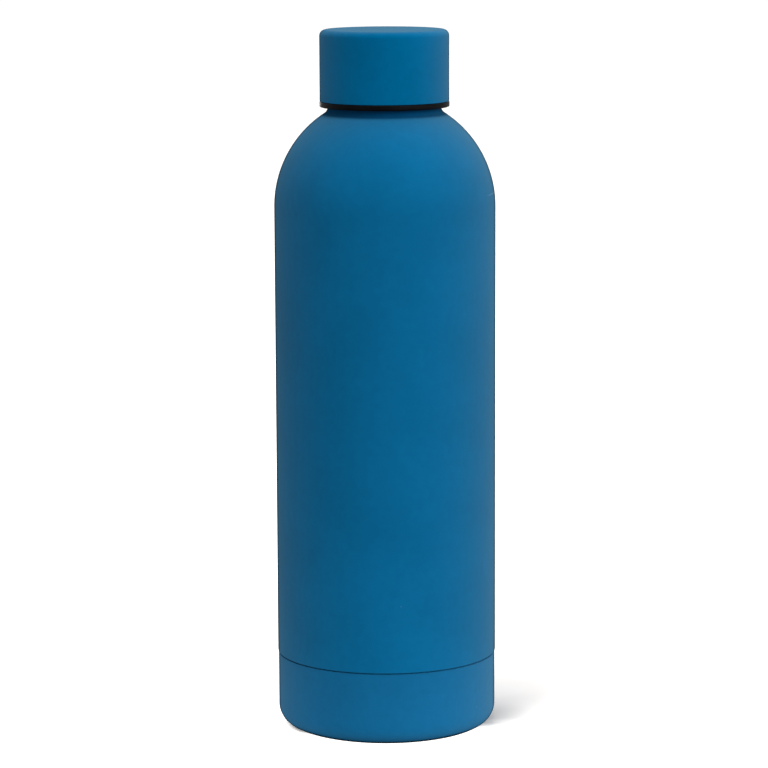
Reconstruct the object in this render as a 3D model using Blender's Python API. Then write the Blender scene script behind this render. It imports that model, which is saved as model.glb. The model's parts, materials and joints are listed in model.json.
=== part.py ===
"""Insulated water bottle with a screw cap: a double-walled steel flask, nominally 500 ml.

Frame: metres, +Z up, origin at the centre of the face it stands on. The bottle stands on the Z axis.
Profiles are lists of (radius, height) in millimetres, spun round a vertical axis.
"""

import math

import bmesh
import bpy
from mathutils import Vector

METRES_PER_MM = 0.001
SEGMENTS = 40  # facets round every large piece, all with the same phase so nested walls stay parallel
SMALL_SEGMENTS = 16
SHARP_DEG = 32.0  # edges that turn by more than this are shaded sharp

# ---- driving dimensions, mm ----
# outer shell
BODY_R = 35.0  # outside of the main cylinder
SHOULDER_R = 35.15  # dome above the cylinder
DOME_CENTRE_R = BODY_R - SHOULDER_R  # just past the axis
SHOULDER_Z = 167.1  # where the cylinder ends and the dome begins
NECK_R = 17.85  # plain neck under the cap, and the crest of its thread
NECK_FILLET = 2.6  # concave sweep from the dome to the neck
THREAD_ROOT_R = 16.9
NECK_STEP_Z = 200.6  # top of the plain neck; the thread begins above it
LIP_Z = 216.1
WALL_OUT = 0.4
SEAM_Z = 23.9  # lower edge of the main cylinder
SPIGOT_R = 34.15  # the reduced end that the base cup slips over
SPIGOT_END_Z = 6.4

# base cup
SEAM_GAP = 0.35
CUP_R = 34.8
CUP_WALL = 0.4
CUP_CORNER = 6.3
RECESS_R = 22.5
RECESS_H = 1.3

# inner flask
VACUUM_GAP = 3.0
FLASK_R = BODY_R - WALL_OUT - VACUUM_GAP  # outside of the inner wall
WALL_IN = 0.35
FLASK_JOINT_Z = 18.3
FLASK_NECK_R = 16.2
FLASK_NECK_FILLET = NECK_FILLET + 1.6
FLASK_FLOOR_Z = 11.2
DISH_R = 6.0  # corner of the dished floor

# outer bottom and the parts on it
PLATE_R = SPIGOT_R - WALL_OUT - 0.3
PLATE_Z = 7.6  # underside of the flat part
PLATE_T = 0.4
DIMPLE_H = 1.6
AIR_HOLE_R = 1.0
BEAD_TOP_Z = PLATE_Z + 1.3
GETTER_X = 18.0
CLIP_Z = PLATE_Z + 0.7

# copper foil
FOIL_T = 0.06
FOIL_R = FLASK_R + 0.35  # inside of the wrap where it starts
FOIL_GROWTH = 0.45  # radius gained in one turn
FOIL_LOW_Z = 22.0
FOIL_HIGH_Z = 160.0
FOIL_OVERLAP_STEPS = 3  # facets past the full turn

# cap
CAP_R = 20.4
CAP_TOP_Z = 222.8
CAP_SHELL_Z = 200.35  # lower edge of the cap shell
CAP_WALL = 0.4
CAP_EDGE_R = 2.0
FLANGE_R = 20.5
FLANGE_Z = 198.55
SKIRT_R = 19.75
BORE_R = 18.25  # root of the cap's own thread
CAP_CREST_R = 17.15
SEAT_Z = 217.8  # underside of the liner's web, where the seal sits
WEB_T = 1.4
LINER_TOP_Z = SEAT_Z + 1.7
PLUG_R = 14.4
PLUG_Z = 211.5
PLUG_WALL = 1.4
PLUG_FLOOR_T = 1.3
FOAM_R = 18.2
FOAM_GAP = 0.3  # above and below the foam
FOAM_SIDE_GAP = 0.35  # round the foam inside the plug

# threads
PITCH = 4.0  # single-start, right-hand
NECK_THREAD_Z = 202.95  # centre of the neck's ridge at angle 0 of its first turn
NECK_THREAD_TURNS = 2.0
CAP_THREAD_DROP = 1.5  # the cap's ridge lies this far under the neck's ridge when closed
CAP_THREAD_START_DEG = 60.0
CAP_THREAD_TURNS = 1.5
THREAD_FADE_DEG = 35.0  # length of the taper at each end of a ridge
THREAD_END_SHARE = 0.12  # share of the full height left at the very end


# ---- scene and materials ----
for old in list(bpy.data.objects):
    bpy.data.objects.remove(old, do_unlink=True)


def material(name, colour, roughness, metallic=0.0):
    made = bpy.data.materials.new(name)
    made.use_nodes = True
    bsdf = made.node_tree.nodes["Principled BSDF"]
    bsdf.inputs["Base Color"].default_value = (*colour, 1.0)
    bsdf.inputs["Roughness"].default_value = roughness
    bsdf.inputs["Metallic"].default_value = metallic
    made.diffuse_color = (*colour, 1.0)
    return made


def metal(name, colour, roughness):
    return material(name, colour, roughness, metallic=1.0)


body_blue = material("soft_touch_blue", colour=(0.008, 0.118, 0.275), roughness=0.55)
cap_blue = material("soft_touch_blue_cap", colour=(0.008, 0.115, 0.270), roughness=0.55)
cup_blue = material("soft_touch_blue_base", colour=(0.009, 0.121, 0.278), roughness=0.55)
brushed_steel = metal("brushed_steel", colour=(0.56, 0.55, 0.53), roughness=0.32)
raw_steel = metal("raw_steel", colour=(0.48, 0.47, 0.46), roughness=0.42)
floor_steel = metal("polished_steel_floor", colour=(0.58, 0.57, 0.56), roughness=0.28)
black_plastic = material("black_polypropylene", colour=(0.012, 0.012, 0.013), roughness=0.48)
white_silicone = material("white_silicone", colour=(0.74, 0.75, 0.74), roughness=0.45)
white_foam = material("white_foam", colour=(0.86, 0.86, 0.83), roughness=0.9)
copper = metal("copper_foil", colour=(0.93, 0.55, 0.40), roughness=0.30)
getter_alloy = material(
    "getter_alloy", colour=(0.20, 0.20, 0.21), roughness=0.75, metallic=0.6
)
clip_steel = metal("getter_clip_steel", colour=(0.52, 0.51, 0.50), roughness=0.35)
solder_glass = material("solder_glass", colour=(0.10, 0.12, 0.11), roughness=0.18)


# ---- profiles ----
def arc(centre_r, centre_z, radius, start, end, steps):
    """Points on an arc in the profile plane, angles in degrees from the +radius direction."""
    points = []
    for i in range(steps + 1):
        angle = math.radians(start + (end - start) * i / steps)
        points.append(
            (centre_r + radius * math.cos(angle), centre_z + radius * math.sin(angle))
        )
    return points


def offset_right(points, distance):
    """The profile moved square to itself, to the right of its direction of travel."""
    moved = []
    for i, here in enumerate(points):
        before = points[max(i - 1, 0)]
        after = points[min(i + 1, len(points) - 1)]
        normals = []
        for start, end in ((before, here), (here, after)):
            length = math.dist(start, end)
            if length > 1e-9:
                normals.append(
                    ((end[1] - start[1]) / length, (start[0] - end[0]) / length)
                )
        # the mean normal, stretched so that both neighbouring edges move by the full distance
        normal_r = sum(normal[0] for normal in normals) / len(normals)
        normal_z = sum(normal[1] for normal in normals) / len(normals)
        reach = distance / (normal_r**2 + normal_z**2)
        moved.append((here[0] + reach * normal_r, here[1] + reach * normal_z))
    return moved


def neck_to_dome(neck_r, fillet_r, dome_r, dome_steps):
    """Down from the neck, round the concave fillet, then over the dome to its widest point."""
    fillet_centre_r = neck_r + fillet_r
    across = fillet_centre_r - DOME_CENTRE_R
    fillet_centre_z = SHOULDER_Z + math.sqrt((dome_r + fillet_r) ** 2 - across**2)
    # direction from the dome's centre to the point where the two arcs meet
    meet = math.degrees(math.atan2(fillet_centre_z - SHOULDER_Z, across))
    return (
        [(neck_r, fillet_centre_z)]
        + arc(fillet_centre_r, fillet_centre_z, fillet_r, 180.0, 180.0 + meet, 3)[1:]
        + arc(DOME_CENTRE_R, SHOULDER_Z, dome_r, meet, 0.0, dome_steps)[1:]
    )


# ---- objects ----
def attach(obj, parent):
    """Parents an object and leaves it where it is."""
    obj.parent = parent
    obj.matrix_parent_inverse = parent.matrix_world.inverted()


def place(shape, name, mat=None, parent=None):
    """Turns a bmesh in millimetres into an object in metres, its origin at the parent's if any."""
    bmesh.ops.remove_doubles(shape, verts=shape.verts, dist=1e-5)
    bmesh.ops.recalc_face_normals(shape, faces=shape.faces)
    origin = parent.location.copy() if parent else Vector((0.0, 0.0, 0.0))
    for vert in shape.verts:
        vert.co = vert.co * METRES_PER_MM - origin
    mesh = bpy.data.meshes.new(name)
    shape.to_mesh(mesh)
    shape.free()
    mesh.shade_smooth()
    mesh.set_sharp_from_angle(angle=math.radians(SHARP_DEG))
    if mat:
        mesh.materials.append(mat)
    obj = bpy.data.objects.new(name, mesh)
    bpy.context.scene.collection.objects.link(obj)
    obj.location = origin
    if parent:
        attach(obj, parent)
    return obj


def turned(name, profile, mat, segments=SEGMENTS, centre_x=0.0, parent=None):
    """A closed profile spun once round a vertical axis. Points at radius 0 become poles."""
    shape = bmesh.new()
    ring = [shape.verts.new((radius, 0.0, z)) for radius, z in profile]
    edges = []
    for i in range(len(ring)):
        following = (i + 1) % len(ring)
        if profile[i][0] < 1e-9 and profile[following][0] < 1e-9:
            continue  # the stretch on the axis isn't a surface
        edges.append(shape.edges.new((ring[i], ring[following])))
    bmesh.ops.spin(
        shape,
        geom=ring + edges,
        cent=(0.0, 0.0, 0.0),
        axis=(0.0, 0.0, 1.0),
        angle=math.tau,
        steps=segments,
        use_merge=True,
        use_duplicate=False,
    )
    for vert in shape.verts:
        vert.co.x += centre_x
    return place(shape, name, mat, parent=parent)


def swept(stations):
    """A solid through a row of stations, each an angle in radians and a (radius, height) section."""
    shape = bmesh.new()
    loops = [
        [
            shape.verts.new((radius * math.cos(angle), radius * math.sin(angle), z))
            for radius, z in section
        ]
        for angle, section in stations
    ]
    corners = len(loops[0])
    for low, high in zip(loops[:-1], loops[1:]):
        for k in range(corners):
            following = (k + 1) % corners
            shape.faces.new((low[k], low[following], high[following], high[k]))
    shape.faces.new(loops[0][::-1])
    shape.faces.new(loops[-1])
    return shape


def add_thread(obj, name, root_r, crest_r, start_z, start_deg, turns, foot, crest, bury):
    """Joins a right-hand helical ridge to obj.

    Its section is a trapezium, foot and crest wide, that starts bury deep inside the wall.
    Its two ends taper down towards the wall.
    """
    steps = round(turns * SEGMENTS)
    fade = SEGMENTS * THREAD_FADE_DEG / 360.0
    base_r = root_r - math.copysign(bury, crest_r - root_r)
    stations = []
    for i in range(steps + 1):
        # half a facet round from the wall's own edges, so that no edge of the ridge lies on one
        turn = (i + 0.5) / SEGMENTS
        z = start_z + PITCH * turn
        share = min(1.0, i / fade, (steps - i) / fade)
        smooth = share * share * (3.0 - 2.0 * share)
        share = THREAD_END_SHARE + (1.0 - THREAD_END_SHARE) * smooth
        top_r = root_r + (crest_r - root_r) * share
        half_crest = crest / 2.0 * (0.5 + 0.5 * share)
        half_foot = foot / 2.0 * (0.6 + 0.4 * share)
        section = [
            (base_r, z - half_foot),
            (top_r, z - half_crest),
            (top_r, z + half_crest),
            (base_r, z + half_foot),
        ]
        stations.append((math.radians(start_deg) + math.tau * turn, section))
    helper = place(swept(stations), name)
    helper.hide_render = True
    helper.display_type = "WIRE"
    if obj.parent:
        attach(helper, obj.parent)
    union = obj.modifiers.new("thread", "BOOLEAN")
    union.operation = "UNION"
    union.solver = "EXACT"
    union.object = helper


# ---- bottle pieces ----
def build_outer_shell():
    """Neck, dome, cylinder and the reduced end, as one drawn wall."""
    top_z = LIP_Z - 0.45
    bevel_w, bevel_h = 0.3, 0.4  # lower edge of the cylinder
    inner_bevel_w = 0.35
    ledge_z = SEAM_Z + 0.35  # upper face of the step in to the reduced end
    outside = [
        (THREAD_ROOT_R, top_z),
        (THREAD_ROOT_R, NECK_STEP_Z + 0.9),
        (NECK_R, NECK_STEP_Z),
        *neck_to_dome(NECK_R, NECK_FILLET, SHOULDER_R, dome_steps=9),
        (BODY_R, SEAM_Z + bevel_h),
        (BODY_R - bevel_w, SEAM_Z),
        (SPIGOT_R, SEAM_Z),
        (SPIGOT_R, SPIGOT_END_Z),
    ]
    # the wall is offset as far as the seam; its top end and the step are drawn point by point
    inside = [
        (THREAD_ROOT_R - WALL_OUT, top_z),
        *offset_right(outside, WALL_OUT)[1:-4],
        (BODY_R - WALL_OUT, ledge_z + bevel_h),
        (BODY_R - WALL_OUT - inner_bevel_w, ledge_z),
        (SPIGOT_R - WALL_OUT, ledge_z),
        (SPIGOT_R - WALL_OUT, SPIGOT_END_Z),
    ]
    shell = turned("outer_shell", outside + inside[::-1], body_blue)
    add_thread(
        shell,
        "neck_thread_ridge",
        root_r=THREAD_ROOT_R,
        crest_r=NECK_R,
        start_z=NECK_THREAD_Z,
        start_deg=0.0,
        turns=NECK_THREAD_TURNS,
        foot=2.2,
        crest=0.9,
        bury=0.2,
    )


def build_base_cup():
    """Slips over the reduced end and hides the vacuum seal."""
    top_z = SEAM_Z - SEAM_GAP
    corner_r = CUP_R - CUP_CORNER
    profile = [
        (CUP_R, top_z),
        *arc(corner_r, CUP_CORNER, CUP_CORNER, 0.0, -90.0, 5),
        (RECESS_R + 1.4, 0.0),
        (RECESS_R, RECESS_H),
        (0.0, RECESS_H),
        (0.0, RECESS_H + CUP_WALL),
        (RECESS_R, RECESS_H + CUP_WALL),
        (RECESS_R + 1.6, CUP_WALL),
        *arc(corner_r, CUP_CORNER, CUP_CORNER - CUP_WALL, -90.0, 0.0, 5),
        (CUP_R - CUP_WALL, top_z),
    ]
    turned("base_cup", profile, cup_blue)


def build_inner_flask():
    """The wall that holds the drink, with a lip turned out over the shell's edge."""
    bore_r = FLASK_NECK_R - WALL_IN
    dome_r = SHOULDER_R - WALL_OUT - VACUUM_GAP
    outside = neck_to_dome(FLASK_NECK_R, FLASK_NECK_FILLET, dome_r, dome_steps=6)
    outside.append((FLASK_R, FLASK_JOINT_Z))
    inside = [
        (bore_r, outside[0][1]),
        *offset_right(outside, WALL_IN)[1:-1],
        (FLASK_R - WALL_IN, FLASK_JOINT_Z),
    ]
    profile = [
        (THREAD_ROOT_R, LIP_Z),
        (THREAD_ROOT_R, LIP_Z - WALL_IN),
        (FLASK_NECK_R, LIP_Z - WALL_IN),
        *outside,
        *inside[::-1],
        (bore_r, LIP_Z - 0.4),
        (bore_r + 0.3, LIP_Z),
    ]
    turned("inner_flask", profile, brushed_steel)


def build_inner_bottom():
    """The dished end welded to the flask."""
    edge_z = FLASK_JOINT_Z - 0.3
    centre_r = FLASK_R - DISH_R
    centre_z = FLASK_FLOOR_Z + DISH_R
    profile = [
        (FLASK_R, edge_z),
        *arc(centre_r, centre_z, DISH_R, 0.0, -90.0, 4),
        (0.0, FLASK_FLOOR_Z),
        (0.0, FLASK_FLOOR_Z + WALL_IN),
        *arc(centre_r, centre_z, DISH_R - WALL_IN, -90.0, 0.0, 4),
        (FLASK_R - WALL_IN, edge_z),
    ]
    turned("inner_bottom", profile, floor_steel)


def build_outer_bottom():
    """Closes the vacuum space, with a dimple where the air was drawn out."""
    rim_end_z = SPIGOT_END_Z + 0.2
    plate_top_z = PLATE_Z + PLATE_T
    rim_top_z = plate_top_z + 0.4
    profile = [
        (PLATE_R, rim_end_z),
        (PLATE_R, rim_top_z - 0.4),
        (PLATE_R - 0.4, rim_top_z),
        (PLATE_R - 0.9, rim_top_z),
        (PLATE_R - 2.0, plate_top_z),
        (8.2, plate_top_z),
        (6.4, plate_top_z + DIMPLE_H),
        (AIR_HOLE_R, plate_top_z + DIMPLE_H),
        (AIR_HOLE_R, PLATE_Z + DIMPLE_H),
        (6.1, PLATE_Z + DIMPLE_H),
        (7.9, PLATE_Z),
        (PLATE_R - 2.1, PLATE_Z),
        (PLATE_R - 1.0, rim_top_z - 0.4),
        (PLATE_R - 0.4, rim_top_z - 0.6),
        (PLATE_R - 0.4, rim_end_z),
    ]
    turned("outer_bottom", profile, raw_steel)


def build_seal_glass():
    """The glass bead in the dimple, at the air hole."""
    profile = [
        (0.0, BEAD_TOP_Z),
        (3.6, BEAD_TOP_Z),
        (4.3, BEAD_TOP_Z - 0.35),
        (3.9, BEAD_TOP_Z - 0.9),
        (2.6, BEAD_TOP_Z - 1.25),
        (0.0, BEAD_TOP_Z - 1.4),
    ]
    turned("seal_glass", profile, solder_glass, segments=SMALL_SEGMENTS)


def build_getter():
    """A pellet in an open clip: it soaks up the last gas in the vacuum space."""
    clip_r, clip_bore_r, clip_h, clip_floor = 4.9, 4.65, 1.7, 0.2
    clip_profile = [
        (clip_r, CLIP_Z),
        (clip_r, CLIP_Z + clip_h),
        (clip_bore_r, CLIP_Z + clip_h),
        (clip_bore_r, CLIP_Z + clip_floor),
        (0.0, CLIP_Z + clip_floor),
        (0.0, CLIP_Z),
    ]
    getter_r = 4.3
    getter_low_z = CLIP_Z + 0.5
    getter_top_z = CLIP_Z + 2.15
    getter_profile = [
        (getter_r, getter_low_z),
        (getter_r, getter_top_z - 0.25),
        (getter_r - 0.3, getter_top_z),
        (0.0, getter_top_z),
        (0.0, getter_low_z),
    ]
    for name, profile, mat in (
        ("getter_clip", clip_profile, clip_steel),
        ("getter", getter_profile, getter_alloy),
    ):
        turned(name, profile, mat, segments=SMALL_SEGMENTS, centre_x=GETTER_X)


def build_copper_foil():
    """One spiral wrap round the flask with its ends overlapping."""
    stations = []
    for i in range(SEGMENTS + FOIL_OVERLAP_STEPS + 1):
        radius = FOIL_R + FOIL_GROWTH * i / SEGMENTS
        section = [
            (radius, FOIL_LOW_Z),
            (radius + FOIL_T, FOIL_LOW_Z),
            (radius + FOIL_T, FOIL_HIGH_Z),
            (radius, FOIL_HIGH_Z),
        ]
        stations.append((math.tau * i / SEGMENTS, section))
    place(swept(stations), "copper_foil", copper)


# ---- cap pieces, all parented to the empty the cap turns about ----
def build_cap_axis():
    empty = bpy.data.objects.new("cap_axis", None)
    bpy.context.scene.collection.objects.link(empty)
    empty.location = (0.0, 0.0, FLANGE_Z * METRES_PER_MM)
    bpy.context.view_layer.update()  # attach() reads the empty's world matrix
    return empty


def build_cap_shell(axis):
    """The painted cup that a hand turns."""
    edge_r = CAP_R - CAP_EDGE_R
    edge_z = CAP_TOP_Z - CAP_EDGE_R
    profile = [
        (0.0, CAP_TOP_Z),
        *arc(edge_r, edge_z, CAP_EDGE_R, 90.0, 0.0, 4),
        (CAP_R, CAP_SHELL_Z),
        (CAP_R - CAP_WALL, CAP_SHELL_Z),
        *arc(edge_r, edge_z, CAP_EDGE_R - CAP_WALL, 0.0, 90.0, 3),
        (0.0, CAP_TOP_Z - CAP_WALL),
    ]
    turned("cap_shell", profile, cap_blue, parent=axis)


def build_cap_liner(axis):
    """Black plastic with the thread, the seal seat and the hollow plug."""
    flange_top_z = CAP_SHELL_Z - 0.1
    web_top_z = SEAT_Z + WEB_T
    profile = [
        # skirt and flange, down the outside
        (SKIRT_R, LINER_TOP_Z - 1.0),
        (SKIRT_R, flange_top_z),
        (FLANGE_R - 0.2, flange_top_z),
        (FLANGE_R, flange_top_z - 0.25),
        (FLANGE_R, FLANGE_Z + 0.4),
        (FLANGE_R - 0.4, FLANGE_Z),
        # threaded bore, up to the seat
        (BORE_R + 0.5, FLANGE_Z),
        (BORE_R, FLANGE_Z + 0.5),
        (BORE_R, SEAT_Z),
        (PLUG_R, SEAT_Z),
        # a rib round the plug at the level of the lip
        (PLUG_R, LIP_Z + 0.05),
        (PLUG_R + 0.55, LIP_Z - 0.25),
        (PLUG_R, LIP_Z - 0.85),
        # plug, its outside and then its hollow
        (PLUG_R, PLUG_Z + 0.6),
        (PLUG_R - 0.6, PLUG_Z),
        (0.0, PLUG_Z),
        (0.0, PLUG_Z + PLUG_FLOOR_T),
        (PLUG_R - PLUG_WALL, PLUG_Z + PLUG_FLOOR_T),
        (PLUG_R - PLUG_WALL, web_top_z),
        # low rim round the top
        (SKIRT_R - 1.2, web_top_z),
        (SKIRT_R - 0.8, LINER_TOP_Z),
        (SKIRT_R - 0.4, LINER_TOP_Z),
    ]
    liner = turned("cap_liner", profile, black_plastic, parent=axis)
    add_thread(
        liner,
        "cap_thread_ridge",
        root_r=BORE_R,
        crest_r=CAP_CREST_R,
        start_z=NECK_THREAD_Z - CAP_THREAD_DROP + PITCH * CAP_THREAD_START_DEG / 360.0,
        start_deg=CAP_THREAD_START_DEG,
        turns=CAP_THREAD_TURNS,
        foot=2.0,
        crest=0.8,
        bury=0.4,
    )


def build_cap_seal(axis):
    """A silicone ring round the plug, between the seat and the lip."""
    outer_r = 17.55
    inner_r = PLUG_R + 0.35
    bevel = 0.25
    low_z = LIP_Z + 0.2
    top_z = SEAT_Z - 0.08
    profile = [
        (outer_r - bevel, low_z + 0.15),
        (outer_r, low_z + 0.4),
        (outer_r, top_z - 0.22),
        (outer_r - bevel, top_z),
        (inner_r + bevel, top_z),
        (inner_r, top_z - 0.22),
        (inner_r, low_z + bevel),
        (inner_r + bevel, low_z),
        (16.0, low_z),
    ]
    turned("cap_seal", profile, white_silicone, parent=axis)


def build_cap_insulation(axis):
    """A stepped foam plug that fills the liner."""
    bevel = 0.6
    top_z = CAP_TOP_Z - CAP_WALL - FOAM_GAP
    step_z = SEAT_Z + WEB_T + FOAM_GAP
    low_z = PLUG_Z + PLUG_FLOOR_T + FOAM_GAP
    stem_r = PLUG_R - PLUG_WALL - FOAM_SIDE_GAP
    profile = [
        (0.0, top_z),
        (FOAM_R - bevel, top_z),
        (FOAM_R, top_z - bevel),
        (FOAM_R, step_z),
        (stem_r, step_z),
        (stem_r, low_z),
        (0.0, low_z),
    ]
    turned("cap_insulation", profile, white_foam, parent=axis)


build_outer_shell()
build_base_cup()
build_inner_flask()
build_inner_bottom()
build_outer_bottom()
build_seal_glass()
build_getter()
build_copper_foil()

cap_axis = build_cap_axis()
build_cap_shell(cap_axis)
build_cap_liner(cap_axis)
build_cap_seal(cap_axis)
build_cap_insulation(cap_axis)
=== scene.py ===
"""Studio picture of an insulated water bottle: turned surfaces and procedural finishes over CAD.

The bottle stands upright on the floor at z = 0 with its axis on Z. The camera looks along +Y from
the -Y side, so +X is to its right. CAD sizes and profiles are in mm, and everything in the
materials, floor, lamps and camera is in metres. Profiles are lists of (radius, height).
"""

import json
import math

import bmesh
import bpy
from mathutils import Matrix, Vector

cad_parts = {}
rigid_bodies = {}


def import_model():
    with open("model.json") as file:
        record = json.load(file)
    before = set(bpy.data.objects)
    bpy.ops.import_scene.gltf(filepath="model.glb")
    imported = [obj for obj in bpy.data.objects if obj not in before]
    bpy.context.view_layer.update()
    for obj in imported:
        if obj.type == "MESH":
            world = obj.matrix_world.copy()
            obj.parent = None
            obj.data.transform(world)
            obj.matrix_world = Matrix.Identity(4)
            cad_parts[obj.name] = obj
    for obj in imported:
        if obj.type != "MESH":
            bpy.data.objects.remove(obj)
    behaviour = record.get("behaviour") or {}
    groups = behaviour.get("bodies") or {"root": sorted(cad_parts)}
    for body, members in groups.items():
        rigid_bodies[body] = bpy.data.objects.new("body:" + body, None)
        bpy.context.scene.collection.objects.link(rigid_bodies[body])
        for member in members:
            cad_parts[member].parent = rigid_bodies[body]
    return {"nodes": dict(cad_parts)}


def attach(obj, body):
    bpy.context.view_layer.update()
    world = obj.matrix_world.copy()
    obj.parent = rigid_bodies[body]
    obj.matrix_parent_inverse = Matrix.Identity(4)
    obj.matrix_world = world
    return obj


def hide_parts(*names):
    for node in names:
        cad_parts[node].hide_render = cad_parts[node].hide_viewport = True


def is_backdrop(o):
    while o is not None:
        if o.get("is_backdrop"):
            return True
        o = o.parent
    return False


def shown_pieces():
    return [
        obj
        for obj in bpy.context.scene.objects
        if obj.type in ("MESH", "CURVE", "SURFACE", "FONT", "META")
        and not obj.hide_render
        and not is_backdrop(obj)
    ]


cad_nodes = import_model()["nodes"]
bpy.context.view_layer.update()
MM = 0.001

# ------------------------------------------------------------------ sizes, mm, as in the CAD
# R is a radius from the axis, Z a height above the floor
BODY_R = 35.0
SHOULDER_R = 35.15  # radius of the dome's own curve
SHOULDER_Z = 167.1
DOME_CENTRE_R = BODY_R - SHOULDER_R
NECK_R = 17.85
NECK_FILLET = 2.6
THREAD_ROOT_R = 16.9
NECK_STEP_Z = 200.6
LIP_Z = 216.1
SHELL_TOP_Z = LIP_Z - 0.45
WALL_OUT = 0.4
WALL_IN = 0.35
SEAM_Z = 23.9
SEAM_GAP = 0.35
SPIGOT_R = 34.15
SPIGOT_END_Z = 6.4

CUP_R = 34.8
CUP_WALL = 0.4
CUP_CORNER = 6.3
CUP_TOP_Z = SEAM_Z - SEAM_GAP
RECESS_R = 22.5
RECESS_H = 1.3
RECESS_GROOVE_DEPTH = 0.35

FLASK_R = 31.6
FLASK_JOINT_Z = 18.3
FLASK_JOINT_GAP = 0.3
FLASK_NECK_R = 16.2
FLASK_FLOOR_Z = 11.2
FLASK_FILLET = NECK_FILLET + 1.6
LIP_THICKNESS = 0.35
DISH_CORNER = 6.0
DISH_RISE = 0.25

CAP_R = 20.4
CAP_TOP_Z = 222.8
CAP_SHELL_Z = 200.35
CAP_WALL = 0.4
CAP_EDGE_R = 2.0
FLANGE_R = 20.5
FLANGE_TOP_Z = CAP_SHELL_Z - 0.1
FLANGE_Z = 198.55
SKIRT_R = 19.75
BORE_R = 18.25
CAP_CREST_R = 17.15
SEAT_Z = 217.8
PLUG_R = 14.4
PLUG_Z = 211.5

PITCH = 4.0
NECK_THREAD_Z = 202.95
NECK_THREAD_TURNS = 2.0
CAP_THREAD_DROP = 1.5
CAP_THREAD_START = 60.0  # degrees
CAP_THREAD_TURNS = 1.5
THREAD_FADE = 35.0  # degrees over which each end of a thread rises
THREAD_ROW = 0.14  # row height on a threaded wall

ROUND = 256  # facets round a large turned piece
ROUND_INSIDE = 192  # facets round the seal and the flask
SHARP_ANGLE = 50.0


# ------------------------------------------------------------------ profiles
def arc(centre_r, centre_z, radius, start, end, step=3.0):
    """Points on an arc, in degrees from the +radius direction."""
    count = max(2, int(math.ceil(abs(end - start) / step)))
    angles = [math.radians(start + (end - start) * i / count) for i in range(count + 1)]
    return [
        (centre_r + radius * math.cos(angle), centre_z + radius * math.sin(angle))
        for angle in angles
    ]


def eased(corners, closed=False, step=12.0):
    """A polyline whose corners (radius, height, corner radius) are rounded with true arcs."""
    points = []
    last = len(corners) - 1
    for i, (r, z, rounding) in enumerate(corners):
        if rounding <= 0 or (not closed and i in (0, last)):
            points.append((r, z))
            continue
        corner = Vector((r, z))
        back = Vector(corners[i - 1][:2]) - corner
        ahead = Vector(corners[(i + 1) % len(corners)][:2]) - corner
        back_length, ahead_length = back.length, ahead.length
        back.normalize()
        ahead.normalize()
        half = math.acos(max(-1.0, min(1.0, back.dot(ahead)))) / 2.0
        if half > math.radians(89.0):  # nearly straight
            points.append((r, z))
            continue
        # each arc takes less than half of either side, so neighbours never overlap
        cut = min(rounding / math.tan(half), 0.49 * back_length, 0.49 * ahead_length)
        rounding = cut * math.tan(half)
        centre = corner + (back + ahead).normalized() * (rounding / math.sin(half))
        start = corner + back * cut - centre
        end = corner + ahead * cut - centre
        start_angle = math.atan2(start.y, start.x)
        end_angle = math.atan2(end.y, end.x)
        turn = (end_angle - start_angle + math.pi) % math.tau - math.pi
        count = max(2, int(math.ceil(abs(math.degrees(turn)) / step)))
        for j in range(count + 1):
            angle = start_angle + turn * j / count
            points.append(
                (centre.x + rounding * math.cos(angle), centre.y + rounding * math.sin(angle))
            )
    return points


def split_long(points, longest, thread_r=None):
    """Adds points along long stretches. A wall at thread_r gets the fine rows of a thread."""
    out = [points[0]]
    for (r0, z0), (r1, z1) in zip(points[:-1], points[1:]):
        threaded = thread_r is not None and all(abs(r - thread_r) < 1e-3 for r in (r0, r1))
        step = THREAD_ROW if threaded else longest
        count = max(1, int(math.ceil(math.hypot(r1 - r0, z1 - z0) / step)))
        for i in range(1, count + 1):
            out.append((r0 + (r1 - r0) * i / count, z0 + (z1 - z0) * i / count))
    return out


def neck_fillet(dome_r, neck_r, fillet_r):
    """Centre (radius, height) of the fillet from dome to neck, and the angle where they meet."""
    centre_r = neck_r + fillet_r
    across = centre_r - DOME_CENTRE_R
    rise = math.sqrt((dome_r + fillet_r) ** 2 - across**2)
    return centre_r, SHOULDER_Z + rise, math.degrees(math.atan2(rise, across))


# ------------------------------------------------------------------ meshes
def turned(name, profile, segments=ROUND, shape=None):
    """A closed profile turned about Z. shape(angle, r, z) may move a point, for a thread."""
    bm = bmesh.new()
    rings = []
    for r, z in profile:
        if r < 1e-6:
            rings.append([bm.verts.new((0.0, 0.0, z * MM))])
            continue
        ring = []
        for i in range(segments):
            angle = math.tau * i / segments
            shaped = shape(angle, r, z) if shape else r
            place = (shaped * math.cos(angle) * MM, shaped * math.sin(angle) * MM, z * MM)
            ring.append(bm.verts.new(place))
        rings.append(ring)
    for ring, following in zip(rings, rings[1:] + rings[:1]):
        if len(ring) == 1 and len(following) == 1:
            continue
        for k in range(segments):
            k2 = (k + 1) % segments
            if len(ring) == 1:
                bm.faces.new((ring[0], following[k], following[k2]))
            elif len(following) == 1:
                bm.faces.new((ring[k], following[0], ring[k2]))
            else:
                bm.faces.new((ring[k], following[k], following[k2], ring[k2]))
    bmesh.ops.recalc_face_normals(bm, faces=bm.faces)
    mesh = bpy.data.meshes.new(name)
    bm.to_mesh(mesh)
    bm.free()
    mesh.shade_smooth()
    mesh.set_sharp_from_angle(angle=math.radians(SHARP_ANGLE))
    return link_new(name, mesh)


def link_new(name, data):
    obj = bpy.data.objects.new(name, data)
    bpy.context.scene.collection.objects.link(obj)
    return obj


def smooth01(value):
    value = max(0.0, min(1.0, value))
    return value * value * (3.0 - 2.0 * value)


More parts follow.
